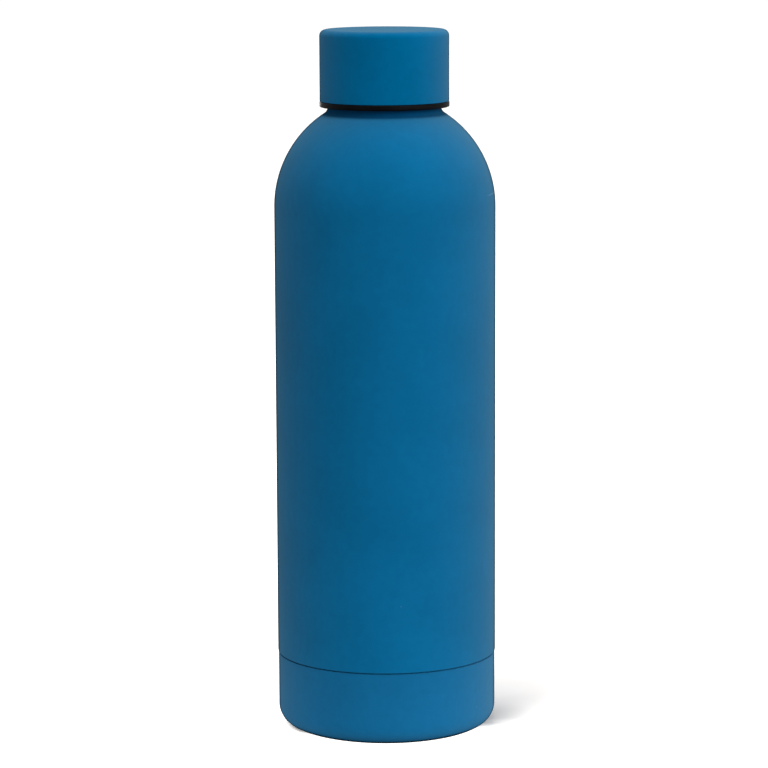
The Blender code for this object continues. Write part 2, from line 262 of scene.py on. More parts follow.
def thread_height(angle, z, start_z, start, turns, foot, crest):
    """0 to 1: how far up the rounded ridge of a right-hand helix a point is.

    foot and crest are the widths of the ridge at its bottom and top.
    """
    best = 0.0
    for k in range(int(math.ceil(turns)) + 2):
        along = angle + math.tau * k - start
        if along < 0.0 or along > math.tau * turns:
            continue
        off = abs(z - start_z - PITCH * along / math.tau)
        up = smooth01((foot / 2.0 - off) / (foot / 2.0 - crest / 2.0))
        end = smooth01(min(along, math.tau * turns - along) / math.radians(THREAD_FADE))
        best = max(best, up * end)
    return best


# ------------------------------------------------------------------ shader helpers
class Graph:
    """Short names for building the nodes of a material or world."""

    def __init__(self, owner, output="ShaderNodeOutputMaterial"):
        self.owner = owner
        owner.use_nodes = True
        self.tree = owner.node_tree
        self.tree.nodes.clear()
        self.out = self.tree.nodes.new(output)

    def node(self, kind, inputs=None, **props):
        made = self.tree.nodes.new(kind)
        for key, value in props.items():
            setattr(made, key, value)
        for key, value in (inputs or {}).items():
            if isinstance(value, bpy.types.NodeSocket):
                self.tree.links.new(value, made.inputs[key])
            else:
                made.inputs[key].default_value = value
        return made

    def math(self, op, a, b=0.0, clamp=False):
        made = self.node("ShaderNodeMath", {0: a, 1: b}, operation=op, use_clamp=clamp)
        return made.outputs[0]

    def add(self, a, b, clamp=False):
        return self.math("ADD", a, b, clamp)

    def subtract(self, a, b, clamp=False):
        return self.math("SUBTRACT", a, b, clamp)

    def multiply(self, a, b):
        return self.math("MULTIPLY", a, b)

    def divide(self, a, b, clamp=False):
        return self.math("DIVIDE", a, b, clamp)

    def power(self, a, b):
        return self.math("POWER", a, b)

    def linear(self, value, base, gain, clamp=False):
        """base + value * gain"""
        return self.add(base, self.multiply(value, gain), clamp)

    def ease(self, value, over, to):
        """A smooth step: as value runs over one range, the result runs to the other."""
        inputs = {0: value, 1: over[0], 2: over[1], 3: to[0], 4: to[1]}
        made = self.node("ShaderNodeMapRange", inputs, interpolation_type="SMOOTHSTEP")
        return made.outputs[0]

    def ramp(self, factor, low, high, span=(0.3, 0.7), interpolation="EASE"):
        """Colour low up to the start of the span, high from its end."""
        made = self.node("ShaderNodeValToRGB", {"Fac": factor})
        made.color_ramp.interpolation = interpolation
        for stop, place, colour in zip(made.color_ramp.elements, span, (low, high)):
            stop.position = place
            stop.color = colour
        return made.outputs["Color"]

    def mix(self, factor, a, b, blend="MIX"):
        inputs = {0: factor, 6: a, 7: b}
        return self.node("ShaderNodeMix", inputs, data_type="RGBA", blend_type=blend).outputs[2]

    def noise(self, vector, scale, detail=2.0, rough=0.5, distortion=0.0):
        inputs = {
            "Vector": vector,
            "Scale": scale,
            "Detail": detail,
            "Roughness": rough,
            "Distortion": distortion,
        }
        return self.node("ShaderNodeTexNoise", inputs).outputs["Fac"]

    def bump(self, height, strength, distance, normal=None):
        inputs = {"Height": height, "Strength": strength, "Distance": distance}
        if normal is not None:
            inputs["Normal"] = normal
        return self.node("ShaderNodeBump", inputs).outputs["Normal"]

    def object_coords(self, **props):
        return self.node("ShaderNodeTexCoord", **props).outputs["Object"]

    def separate(self, vector):
        return self.node("ShaderNodeSeparateXYZ", {0: vector}).outputs

    def combine_color(self, parts):
        return self.node("ShaderNodeCombineColor", dict(enumerate(parts))).outputs[0]

    def radius(self, x, y):
        return self.math("SQRT", self.add(self.power(x, 2.0), self.power(y, 2.0)))

    def mix_shader(self, factor, a, b):
        return self.node("ShaderNodeMixShader", {0: factor, 1: a, 2: b}).outputs[0]

    def camera_ray(self):
        return self.node("ShaderNodeLightPath").outputs["Is Camera Ray"]

    def principled(self, inputs):
        return self.finish(self.node("ShaderNodeBsdfPrincipled", inputs).outputs[0])

    def finish(self, shader):
        self.tree.links.new(shader, self.out.inputs["Surface"])
        return self.owner


def material_graph(name):
    return Graph(bpy.data.materials.new(name))


def grey(value):
    return (value, value, value, 1.0)


def scaled(colour, factor):
    return tuple(c * factor for c in colour[:3]) + (1.0,)


# ------------------------------------------------------------------ soft-touch paint
PAINT = (0.00077, 0.0667, 0.1510)
PAINTED_SHEEN = (0.0382, 0.0334, 0.0030)  # painted sheen added at grazing angles, warmer than the paint
PAINTED_SHEEN_POWER = 2.0
# painted shade on the paint where it is seen edge on
EDGE_PAINTED_SHADE = 0.65
# painted contact shadow on the turned-under edge at the floor
CONTACT_PAINTED_SHADOW = 0.85
DUST = (0.20, 0.32, 0.42, 1.0)
RUBBED = (0.16, 0.33, 0.48, 1.0)


def sprayed_colour(g, place, cloud, tint):
    """The tinted paint, clouded and mottled, with a few specks of dust."""
    base = [c * t for c, t in zip(PAINT, tint)]
    mottle = g.noise(place, scale=420.0, detail=3.0, rough=0.6)
    colour = g.ramp(cloud, low=scaled(base, 0.955), high=scaled(base, 1.045))
    speck = g.ramp(mottle, low=grey(0.965), high=grey(1.035), interpolation="LINEAR")
    colour = g.mix(1.0, colour, speck, "MULTIPLY")
    cells = {"Vector": place, "Scale": 210.0, "Randomness": 1.0}
    dust = g.node("ShaderNodeTexVoronoi", cells, feature="F1")
    # a random channel picks the few cells that hold a speck, and the distance sets its size
    draw = g.node("ShaderNodeSeparateColor", {0: dust.outputs["Color"]}).outputs[0]
    chosen = g.math("GREATER_THAN", draw, 0.93)
    spot = g.multiply(chosen, g.math("LESS_THAN", dust.outputs["Distance"], 0.045))
    return g.mix(g.multiply(spot, 0.10), colour, DUST)


def painted_sheen_and_shade(g, colour):
    """Adds a painted sheen at grazing angles, and painted shade where the surface is seen edge on and
    where it turns under to the floor.
    """
    facing = g.node("ShaderNodeLayerWeight", {"Blend": 0.5}).outputs["Facing"]
    up = g.separate(g.node("ShaderNodeNewGeometry").outputs["Normal"])[2]
    # painted sheen: full on surfaces facing sideways and up, weaker where the surface turns under
    under = g.linear(g.math("MINIMUM", up, 0.0), base=1.0, gain=0.8, clamp=True)
    painted_sheen = g.multiply(g.power(facing, PAINTED_SHEEN_POWER), under)
    colour = g.mix(1.0, colour, g.combine_color([g.multiply(painted_sheen, c) for c in PAINTED_SHEEN]), "ADD")
    # painted shade: the last sliver of the surface, seen edge on, is darkened unless it faces up
    painted_edge_shade = g.ease(facing, over=(0.78, 0.95), to=(0.0, EDGE_PAINTED_SHADE))
    not_up = g.subtract(1.0, g.power(g.math("MAXIMUM", up, 0.0), 4.0))
    kept = g.subtract(1.0, g.multiply(painted_edge_shade, not_up))
    # and a painted contact shadow darkens the turned-under edge that meets the floor
    painted_contact_shadow = g.ease(facing, over=(0.55, 0.78), to=(0.0, CONTACT_PAINTED_SHADOW))
    down = g.ease(up, over=(-0.85, -0.60), to=(1.0, 0.0))
    kept = g.multiply(kept, g.subtract(1.0, g.multiply(painted_contact_shadow, down)))
    return g.mix(1.0, colour, g.combine_color([kept] * 3), "MULTIPLY")


def hollow_shade(g, colour, full_r, clear_r, low_z, tone):
    """Shade under the cap's rim: full inside full_r, gone by clear_r and below low_z (mm)."""
    x, y, z = g.separate(g.object_coords())
    height = g.multiply(z, 1.0)
    clear = g.ease(g.radius(x, y), over=(full_r * MM, clear_r * MM), to=(0.0, 1.0))
    clear = g.math("MAXIMUM", clear, g.math("LESS_THAN", height, low_z * MM))
    # the rim casts this shade, so it goes over the first 8 mm as the cap lifts away
    from_cap_z = g.separate(g.object_coords(object=bpy.data.objects["body:cap"]))[2]
    world_z = g.separate(g.node("ShaderNodeNewGeometry").outputs["Position"])[2]
    lifted = g.divide(g.subtract(world_z, from_cap_z), 0.008, clamp=True)
    clear = g.math("MAXIMUM", clear, lifted)
    # light bounced between painted walls comes back bluer, so each channel has its own depth
    parts = [g.linear(clear, base=c, gain=1.0 - c) for c in tone]
    return g.mix(1.0, colour, g.combine_color(parts), "MULTIPLY")


def rub_mark(g, place, angle, height, half_angle, thickness, tilt):
    """Mask of a hairline: a short, nearly level line, broken up by noise."""
    x, y, z = g.separate(place)
    along = g.subtract(g.math("ARCTAN2", y, x), angle)
    line = g.subtract(g.subtract(z, height), g.multiply(along, tilt))
    near = g.subtract(1.0, g.divide(g.math("ABSOLUTE", line), thickness), clamp=True)
    span = g.subtract(1.0, g.power(g.divide(along, half_angle), 2.0), clamp=True)
    breaks = g.noise(place, scale=1500.0)
    ragged = g.ramp(
        breaks, low=grey(0.25), high=grey(1.0), span=(0.42, 0.6), interpolation="LINEAR"
    )
    return g.multiply(g.multiply(near, span), ragged)


def soft_touch(name, tint, seed, hollow=None, scuff=None):
    """Matt rubbery paint: a deep blue under a faint painted sheen, with painted shade at its edges and a
    sprayed micro texture.
    """
    g = material_graph(name)
    place = g.object_coords()
    shift = {0: place, 1: (seed, seed * 0.7, seed * 0.3)}
    shifted = g.node("ShaderNodeVectorMath", shift, operation="ADD").outputs[0]
    cloud = g.noise(shifted, scale=38.0, detail=3.0, rough=0.55)
    grain = g.noise(shifted, scale=2600.0, rough=0.6)
    peel = g.noise(shifted, scale=900.0, detail=1.0)
    normal = g.bump(grain, strength=0.16, distance=0.00006)
    normal = g.bump(peel, strength=0.10, distance=0.00012, normal=normal)
    colour = painted_sheen_and_shade(g, sprayed_colour(g, shifted, cloud, tint))
    rough = g.linear(g.subtract(cloud, 0.5), base=0.56, gain=0.14)
    if hollow:
        colour = hollow_shade(g, colour, **hollow)
    if scuff:
        mark = rub_mark(g, place, **scuff)
        colour = g.mix(g.multiply(mark, 0.55), colour, RUBBED)
        rough = g.subtract(rough, g.multiply(mark, 0.15))
    return g.principled(
        {"Base Color": colour, "Roughness": rough, "Specular IOR Level": 0.0, "Normal": normal}
    )


# ------------------------------------------------------------------ other materials
def moulded_black(name):
    """Satin black polypropylene with a fine spark-eroded texture."""
    g = material_graph(name)
    place = g.object_coords()
    fine = g.noise(place, scale=5200.0, rough=0.6)
    broad = g.noise(place, scale=160.0, detail=3.0)
    low, high = (0.0013, 0.0011, 0.0015, 1), (0.0022, 0.0020, 0.0025, 1)
    return g.principled(
        {
            "Base Color": g.ramp(broad, low, high),
            "Roughness": g.linear(broad, base=0.36, gain=0.16),
            "Specular IOR Level": 0.03,
            "Normal": g.bump(fine, strength=0.22, distance=0.00005),
        }
    )


def brushed(name, tone, rough, lines=5200.0, strength=0.25):
    """Stainless steel with marks that run round the axis, as a lathe and polishing leave them."""
    g = material_graph(name)
    x, y, z = g.separate(g.object_coords())
    angle = g.multiply(g.math("ARCTAN2", y, x), 1.0)
    # radius and height, at full weight, cross the marks, so a flat face gets rings and a wall
    # level lines; the angle counts for little, which draws each mark out round the axis
    across = g.node(
        "ShaderNodeCombineXYZ",
        {
            0: g.multiply(g.radius(x, y), 1.0),
            1: g.multiply(angle, 0.0012),
            2: g.multiply(z, 1.0),
        },
    ).outputs[0]
    marks = g.noise(across, scale=lines, detail=3.0, rough=0.65)
    broad = g.noise(across, scale=lines / 14.0)
    colour = g.ramp(
        marks,
        low=scaled(tone, 0.90),
        high=scaled(tone, 1.05),
        span=(0.25, 0.75),
        interpolation="LINEAR",
    )
    return g.principled(
        {
            "Base Color": colour,
            "Metallic": 1.0,
            "Roughness": g.linear(g.subtract(broad, 0.5), base=rough, gain=0.22),
            "Anisotropic": 0.45,
            "Normal": g.bump(marks, strength, distance=0.00002),
        }
    )


def silicone(name):
    """Milky white rubber."""
    g = material_graph(name)
    place = g.object_coords()
    cloud = g.noise(place, scale=220.0)
    fine = g.noise(place, scale=2200.0)
    return g.principled(
        {
            "Base Color": g.ramp(cloud, low=(0.60, 0.62, 0.62, 1), high=(0.72, 0.73, 0.72, 1)),
            "Roughness": g.linear(cloud, base=0.34, gain=0.12),
            "Subsurface Weight": 0.5,
            "Subsurface Radius": (0.0012, 0.0012, 0.0011),
            "Subsurface Scale": 1.0,
            "Specular IOR Level": 0.4,
            "Normal": g.bump(fine, strength=0.08, distance=0.00005),
        }
    )


def foam(name):
    """White foam with small cells."""
    g = material_graph(name)
    cells = {"Vector": g.object_coords(), "Scale": 950.0}
    depth = g.node("ShaderNodeTexVoronoi", cells, feature="F1").outputs["Distance"]
    low, high = (0.70, 0.70, 0.67, 1), (0.88, 0.88, 0.85, 1)
    return g.principled(
        {
            "Base Color": g.ramp(depth, low, high, span=(0.0, 0.55)),
            "Roughness": 0.9,
            "Specular IOR Level": 0.2,
            "Normal": g.bump(depth, strength=0.6, distance=0.0002),
        }
    )


def foil(name):
    """Creased copper foil."""
    g = material_graph(name)
    crease = g.noise(g.object_coords(), scale=130.0, detail=5.0, rough=0.6, distortion=1.2)
    return g.principled(
        {
            "Base Color": g.ramp(crease, low=(0.80, 0.42, 0.28, 1), high=(0.95, 0.60, 0.45, 1)),
            "Metallic": 1.0,
            "Roughness": g.linear(crease, base=0.16, gain=0.2),
            "Normal": g.bump(crease, strength=0.5, distance=0.0006),
        }
    )


def powder_metal(name):
    """Dull pressed metal grit."""
    g = material_graph(name)
    grit = g.noise(g.object_coords(), scale=4200.0, detail=4.0, rough=0.7)
    return g.principled(
        {
            "Base Color": g.ramp(grit, low=grey(0.10), high=grey(0.26)),
            "Metallic": 0.7,
            "Roughness": 0.72,
            "Normal": g.bump(grit, strength=0.6, distance=0.00008),
        }
    )


def fused_glass(name):
    """Dark, glossy, swirled glass."""
    g = material_graph(name)
    swirl = g.noise(g.object_coords(), scale=700.0, detail=3.0, distortion=0.8)
    return g.principled(
        {
            "Base Color": g.ramp(swirl, low=(0.05, 0.065, 0.06, 1), high=(0.14, 0.17, 0.15, 1)),
            "Roughness": g.linear(swirl, base=0.08, gain=0.12),
            "Coat Weight": 0.6,
            "Normal": g.bump(swirl, strength=0.15, distance=0.0001),
        }
    )


blue_body = soft_touch(
    "soft_touch_body",
    tint=(2.2, 1.0, 1.0),
    seed=0.0,
    hollow={"full_r": 19.1, "clear_r": 20.1, "low_z": 190.0, "tone": (0.25, 0.50, 0.61)},
    # radians and metres
    scuff={
        "angle": -0.26,
        "height": 0.1717,
        "half_angle": 0.16,
        "thickness": 0.00022,
        "tilt": 0.0012,
    },
)
blue_cap = soft_touch("soft_touch_cap", tint=(0.2, 1.0, 1.01), seed=1.3)
blue_base = soft_touch("soft_touch_base", tint=(4.5, 1.0, 1.0), seed=2.7)
black_pp = moulded_black("black_polypropylene")
steel = brushed("brushed_steel", tone=(0.56, 0.55, 0.53), rough=0.30)
raw_steel = brushed(
    "raw_steel", tone=(0.46, 0.45, 0.44), rough=0.42, lines=3000.0, strength=0.35
)
clip_steel = brushed(
    "clip_steel", tone=(0.50, 0.49, 0.48), rough=0.35, lines=6000.0, strength=0.2
)
white_silicone = silicone("white_silicone")
white_foam = foam("white_foam")
copper = foil("copper_foil")
alloy = powder_metal("getter_alloy")
bead_glass = fused_glass("seal_glass")


def dress(obj, material):
    obj.data.materials.clear()
    obj.data.materials.append(material)


def piece(node, body, material, slot, profile, **turning):
    """A turned piece that stands for a CAD node and moves with a body."""
    obj = turned(node + "_visual", profile, **turning)
    dress(obj, material)
    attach(obj, body)
    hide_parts(node)
    return obj


# ------------------------------------------------------------------ outer shell
def neck_thread(angle, r, z):
    on_root = THREAD_ROOT_R - 0.05 <= r <= THREAD_ROOT_R + 0.3
    if not on_root or z < NECK_STEP_Z + 0.7 or z > LIP_Z - 1.7:
        return r
    up = thread_height(
        angle, z, NECK_THREAD_Z, start=0.0, turns=NECK_THREAD_TURNS, foot=2.2, crest=0.9
    )
    return r + (NECK_R - THREAD_ROOT_R) * up


def outer_shell_profile():
    """From the top of the neck down the outside, round the spigot and back up the inside."""
    fillet_r, fillet_z, meet = neck_fillet(SHOULDER_R, NECK_R, NECK_FILLET)
    neck = eased(
        [  # radius, height, corner radius
            (THREAD_ROOT_R - 0.25, SHELL_TOP_Z, 0),
            (THREAD_ROOT_R, SHELL_TOP_Z, 0.15),
            (THREAD_ROOT_R, NECK_STEP_Z + 0.9, 0.5),
            (NECK_R, NECK_STEP_Z, 0.5),
            (NECK_R, fillet_z, 0),
        ]
    )
    lower = eased(
        [  # radius, height, corner radius
            (BODY_R, SHOULDER_Z, 0),
            (BODY_R, SEAM_Z, 0.28),
            (SPIGOT_R, SEAM_Z, 0.12),
            (SPIGOT_R, SPIGOT_END_Z, 0),
            (SPIGOT_R - WALL_OUT, SPIGOT_END_Z, 0),
            (SPIGOT_R - WALL_OUT, SEAM_Z + 0.4, 0.15),
            (BODY_R - WALL_OUT, SEAM_Z + 0.4, 0.2),
            (BODY_R - WALL_OUT, SHOULDER_Z, 0),
        ],
        step=15.0,
    )
    return (
        split_long(neck, 0.6, thread_r=THREAD_ROOT_R)[:-1]
        + arc(fillet_r, fillet_z, NECK_FILLET, 180.0, 180.0 + meet, step=4.0)
        + arc(DOME_CENTRE_R, SHOULDER_Z, SHOULDER_R, meet, 0.0, step=1.5)[1:]
        + split_long(lower, 6.0)[1:-1]
        + arc(DOME_CENTRE_R, SHOULDER_Z, SHOULDER_R - WALL_OUT, 0.0, meet, step=4.0)
        + arc(fillet_r, fillet_z, NECK_FILLET + WALL_OUT, 180.0 + meet, 180.0, step=8.0)[1:]
        + [
            (NECK_R - WALL_OUT, NECK_STEP_Z - 0.15),
            (THREAD_ROOT_R - WALL_OUT, NECK_STEP_Z + 0.75),
            (THREAD_ROOT_R - WALL_OUT, SHELL_TOP_Z),
        ]
    )


shell = piece(
    "outer_shell",
    "bottle",
    blue_body,
    "soft_touch_blue",
    outer_shell_profile(),
    shape=neck_thread,
)
# the threaded neck above the plain collar is bare steel, and so is the inside of the collar
shell.data.materials.append(steel)
for poly in shell.data.polygons:
    face_z = poly.center.z / MM
    face_r = math.hypot(poly.center.x, poly.center.y) / MM
    inside_collar = face_r < NECK_R - 0.12 and face_z > NECK_STEP_Z - 4.3
    if face_z > NECK_STEP_Z + 0.25 or inside_collar:
        poly.material_index = 1


# ------------------------------------------------------------------ base cup
def base_cup_profile():
    """From the inside of the rim, down the outside, across the underside and back inside."""
    corner_r = CUP_R - CUP_CORNER
    groove_z = RECESS_H - RECESS_GROOVE_DEPTH
    wall = eased(
        [  # radius, height, corner radius
            (CUP_R - CUP_WALL, CUP_TOP_Z - 4.0, 0),
            (CUP_R - CUP_WALL, CUP_TOP_Z, 0.12),
            (CUP_R, CUP_TOP_Z, 0.16),
            (CUP_R, CUP_CORNER, 0),
        ]
    )
    under = eased(
        [  # radius, height, corner radius: foot ring, recess, then a shallow groove in it
            (corner_r, 0.0, 0),
            (RECESS_R + 1.4, 0.0, 0.9),
            (RECESS_R, RECESS_H, 0.7),
            (15.6, RECESS_H, 0.4),
            (15.0, groove_z, 0.4),
            (13.2, groove_z, 0.4),
            (12.6, RECESS_H, 0.4),
            (0.0, RECESS_H, 0),
        ]
    )
    return (
        split_long(wall, 6.0)
        + arc(corner_r, CUP_CORNER, CUP_CORNER, 0.0, -90.0)[1:]
        + under[1:]
        + [
            (0.0, RECESS_H + CUP_WALL),
            (RECESS_R, RECESS_H + CUP_WALL),
            (RECESS_R + 1.6, CUP_WALL),
        ]
        + arc(corner_r, CUP_CORNER, CUP_CORNER - CUP_WALL, -90.0, 0.0, step=8.0)
    )


piece("base_cup", "bottle", blue_base, "soft_touch_blue", base_cup_profile())


# ------------------------------------------------------------------ inner flask, lip and floor
def inner_flask_profile():
    """Up the bore to the rolled lip, down the vacuum side, and back up the drink side."""
    dome_r = FLASK_R - DOME_CENTRE_R
    bore_r = FLASK_NECK_R - WALL_IN
    lip_under_z = LIP_Z - LIP_THICKNESS
    fillet_r, fillet_z, meet = neck_fillet(dome_r, FLASK_NECK_R, FLASK_FILLET)
    lip = eased(
        [  # radius, height, corner radius
            (bore_r, fillet_z, 0),
            (bore_r, LIP_Z, 0.45),
            (THREAD_ROOT_R, LIP_Z, 0.17),
            (THREAD_ROOT_R, lip_under_z, 0.17),
            (FLASK_NECK_R, lip_under_z, 0.1),
            (FLASK_NECK_R, fillet_z, 0),
        ]
    )
    return (
        split_long(lip, 4.0)
        + arc(fillet_r, fillet_z, FLASK_FILLET, 180.0, 180.0 + meet, step=6.0)[1:]
        + arc(DOME_CENTRE_R, SHOULDER_Z, dome_r, meet, 0.0)[1:]
        + [(FLASK_R, FLASK_JOINT_Z), (FLASK_R - WALL_IN, FLASK_JOINT_Z)]
        + arc(DOME_CENTRE_R, SHOULDER_Z, dome_r - WALL_IN, 0.0, meet)
        + arc(fillet_r, fillet_z, FLASK_FILLET + WALL_IN, 180.0 + meet, 180.0, step=6.0)[1:-1]
    )


def inner_bottom_profile():
    """A dish with a slightly raised middle: its underside, then its upper side."""
    corner_r = FLASK_R - DISH_CORNER
    corner_z = FLASK_FLOOR_Z + DISH_CORNER
    rim_z = FLASK_JOINT_Z - FLASK_JOINT_GAP
    middle = [(14.0, FLASK_FLOOR_Z), (12.0, FLASK_FLOOR_Z + DISH_RISE)]
    middle.append((0.0, FLASK_FLOOR_Z + DISH_RISE))
    return (
        [(FLASK_R, rim_z)]
        + arc(corner_r, corner_z, DISH_CORNER, 0.0, -90.0, step=6.0)
        + middle
        + [(r, z + WALL_IN) for r, z in reversed(middle)]
        + arc(corner_r, corner_z, DISH_CORNER - WALL_IN, -90.0, 0.0, step=6.0)
        + [(FLASK_R - WALL_IN, rim_z)]
    )


for flask_node, flask_profile in (
    ("inner_flask", inner_flask_profile()),
    ("inner_bottom", inner_bottom_profile()),
):
    piece(flask_node, "bottle", steel, "brushed_steel", flask_profile, segments=ROUND_INSIDE)


# ------------------------------------------------------------------ cap shell
def cap_shell_profile():
    edge_r = CAP_R - CAP_EDGE_R
    edge_z = CAP_TOP_Z - CAP_EDGE_R
    skirt = eased(
        [  # radius, height, corner radius
            (CAP_R, edge_z, 0),
            (CAP_R, CAP_SHELL_Z, 0.16),
            (CAP_R - CAP_WALL, CAP_SHELL_Z, 0.16),
            (CAP_R - CAP_WALL, edge_z, 0),
        ]
    )
    return (
        [(r, CAP_TOP_Z) for r in (0.0, 6.0, 12.0, 17.0)]
        + arc(edge_r, edge_z, CAP_EDGE_R, 90.0, 0.0, step=6.0)
        + split_long(skirt, 3.0)[1:]
        + arc(edge_r, edge_z, CAP_EDGE_R - CAP_WALL, 0.0, 90.0, step=15.0)[1:]
        + [(0.0, CAP_TOP_Z - CAP_WALL)]
    )


piece("cap_shell", "cap", blue_cap, "soft_touch_blue", cap_shell_profile())


# ------------------------------------------------------------------ cap liner
def cap_thread(angle, r, z):
    if abs(r - BORE_R) > 0.02 or z < CAP_SHELL_Z - 0.5 or z > CAP_SHELL_Z + 11.0:
        return r
    up = thread_height(
        angle,
        z,
        NECK_THREAD_Z - CAP_THREAD_DROP + PITCH * CAP_THREAD_START / 360.0,
        start=math.radians(CAP_THREAD_START),
        turns=CAP_THREAD_TURNS,
        foot=2.0,
        crest=0.8,
    )
    return r - (BORE_R - CAP_CREST_R) * up


# radius, height, corner radius: down the skirt, round the flange, up the bore, round the plug
LINER_CORNERS = [
    (SKIRT_R - 1.2, SEAT_Z + 1.4, 0.2),
    (SKIRT_R - 0.8, SEAT_Z + 1.7, 0.15),
    (SKIRT_R, SEAT_Z + 1.5, 0.3),
    (SKIRT_R, FLANGE_TOP_Z, 0.1),
    (FLANGE_R, FLANGE_TOP_Z, 0.3),
    (FLANGE_R, FLANGE_Z, 0.45),
    (BORE_R, FLANGE_Z, 0.5),
    (BORE_R, SEAT_Z, 0.25),
    (PLUG_R, SEAT_Z, 0.2),
    (PLUG_R, LIP_Z + 0.05, 0.1),
    (PLUG_R + 0.55, LIP_Z - 0.25, 0.15),
    (PLUG_R, LIP_Z - 0.85, 0.2),
    (PLUG_R, PLUG_Z, 0.8),
    (11.4, PLUG_Z, 0.3),
    (11.0, PLUG_Z + 0.35, 0.3),
    (0.0, PLUG_Z + 0.35, 0),
    (0.0, PLUG_Z + 1.3, 0),
    (PLUG_R - 1.4, PLUG_Z + 1.3, 0.3),
    (PLUG_R - 1.4, SEAT_Z + 1.4, 0.3),
]
liner_line = eased(LINER_CORNERS, closed=True)
liner_profile = split_long(liner_line + liner_line[:1], 4.0, thread_r=BORE_R)[:-1]
piece("cap_liner", "cap", black_pp, "black_polypropylene", liner_profile, shape=cap_thread)

# ------------------------------------------------------------------ seal
SEAL_IN_R = PLUG_R + 0.35
SEAL_OUT_R = 17.55
SEAL_TOP_Z = SEAT_Z - 0.08
# radius, height, corner radius
SEAL_CORNERS = [
    (SEAL_IN_R, LIP_Z + 0.2, 0.3),
    (16.0, LIP_Z + 0.2, 0.4),
    (16.5, LIP_Z + 0.35, 0.4),
    (SEAL_OUT_R, LIP_Z + 0.35, 0.35),
    (SEAL_OUT_R, SEAL_TOP_Z, 0.35),
    (SEAL_IN_R, SEAL_TOP_Z, 0.3),
]
seal_profile = eased(SEAL_CORNERS, closed=True)
piece("cap_seal", "seal", white_silicone, "silicone", seal_profile, segments=ROUND_INSIDE)

# ------------------------------------------------------------------ CAD pieces that stay, inside the walls
for cad_name, material in (
    ("cap_insulation", white_foam),
    ("outer_bottom", raw_steel),
    ("seal_glass", bead_glass),
    ("getter_clip", clip_steel),
    ("getter", alloy),
    ("copper_foil", copper),
):
    dress(cad_nodes[cad_name], material)

# ------------------------------------------------------------------ floor
FLOOR_HALF = 4.0
FLOOR_STEPS = 8
FLOOR_DROP = 0.00005  # keeps the floor just clear of the foot
FLOOR_ALBEDO = 0.75
FLOOR_TINT = (1.035, 1.0, 0.965)  # cancels the blue the bottle throws into its own shade
FLOOR_GLOW = 0.20  # lifts the floor the camera sees, so that its lit part is plain white
FRONT_GLOW = 1.2  # painted light: keeps the floor plain white right up to the front of the foot, over its shade
FRONT_WAY = (0.1392, -0.9903, 0.0)  # the middle of that glow: to the front, a little right
BOUNCE_NEAR = 1.58  # extra light the white sweep throws back at the object, close to its foot
BOUNCE_REACH = 0.12
FOOT_SHADE = 0.45  # how much of the returned light the foot's own shade takes
FOOT_SHADE_REACH = 0.03


def floor_grid():
    bm = bmesh.new()
    marks = [-FLOOR_HALF + 2 * FLOOR_HALF * i / FLOOR_STEPS for i in range(FLOOR_STEPS + 1)]
    grid = [[bm.verts.new((x, y, 0.0)) for y in marks] for x in marks]
    for i in range(FLOOR_STEPS):
        for j in range(FLOOR_STEPS):
            bm.faces.new((grid[i][j], grid[i + 1][j], grid[i + 1][j + 1], grid[i][j + 1]))
    mesh = bpy.data.meshes.new("floor")
    bm.to_mesh(mesh)
    bm.free()
    return mesh


def floor_glow(g, place, away):
    """Glow the camera sees: the plain lift, and its changes round the foot and far away."""
    toward = g.node(
        "ShaderNodeVectorMath", {0: place, 1: FRONT_WAY}, operation="DOT_PRODUCT"
    ).outputs["Value"]
    front_part = g.ease(g.divide(toward, away), over=(0.25, 0.6), to=(0.0, 1.0))
    by_foot = g.ease(away, over=(0.036, 0.055), to=(1.0, 0.0))
    lifted = g.multiply(g.multiply(front_part, by_foot), FRONT_GLOW)
    # painted shadow on the right: the glow dips to deepen the shade beside the foot, and rises to thin it
    # out behind it
    x, y, _ = g.separate(place)
    aside, behind = g.divide(x, away), g.divide(y, away)
    deeper = g.multiply(
        g.ease(behind, over=(0.25, 0.6), to=(-0.13, 0.0)),
        g.ease(away, over=(0.038, 0.053), to=(1.0, 0.0)),
    )
    deeper = g.multiply(deeper, g.ease(behind, over=(-0.08, 0.08), to=(0.0, 1.0)))
    thinner = g.multiply(
        g.ease(behind, over=(0.5, 0.7), to=(0.0, 0.075)),
        g.ease(away, over=(0.055, 0.070), to=(1.0, 0.0)),
    )
    on_right = g.ease(aside, over=(0.2, 0.5), to=(0.0, 1.0))
    painted_shadow_wedge = g.multiply(g.add(deeper, thinner), on_right)
    # far from the bottle the sweep runs out to plain white, with no horizon
    distant = g.ease(away, over=(0.20, 0.45), to=(0.0, 0.08))
    return g.add(g.add(g.add(lifted, painted_shadow_wedge), distant), FLOOR_GLOW)


def floor_bounce(g, away):
    """Light the object gets back: an even sheet, dimmer by the foot, plus the near pool."""
    pool = g.math("EXPONENT", g.multiply(g.power(away, 2.0), -1.0 / BOUNCE_REACH**2))
    from_foot = g.subtract(away, BODY_R * MM)
    shade = g.math("EXPONENT", g.multiply(from_foot, -1.0 / FOOT_SHADE_REACH))
    sheet = g.multiply(g.subtract(1.0, g.multiply(shade, FOOT_SHADE)), FLOOR_ALBEDO)
    back = g.add(sheet, g.multiply(pool, BOUNCE_NEAR))
    # nothing comes back from under the foot
    return g.multiply(back, g.ease(away, over=(0.0296, 0.040), to=(0.0, 1.0)))


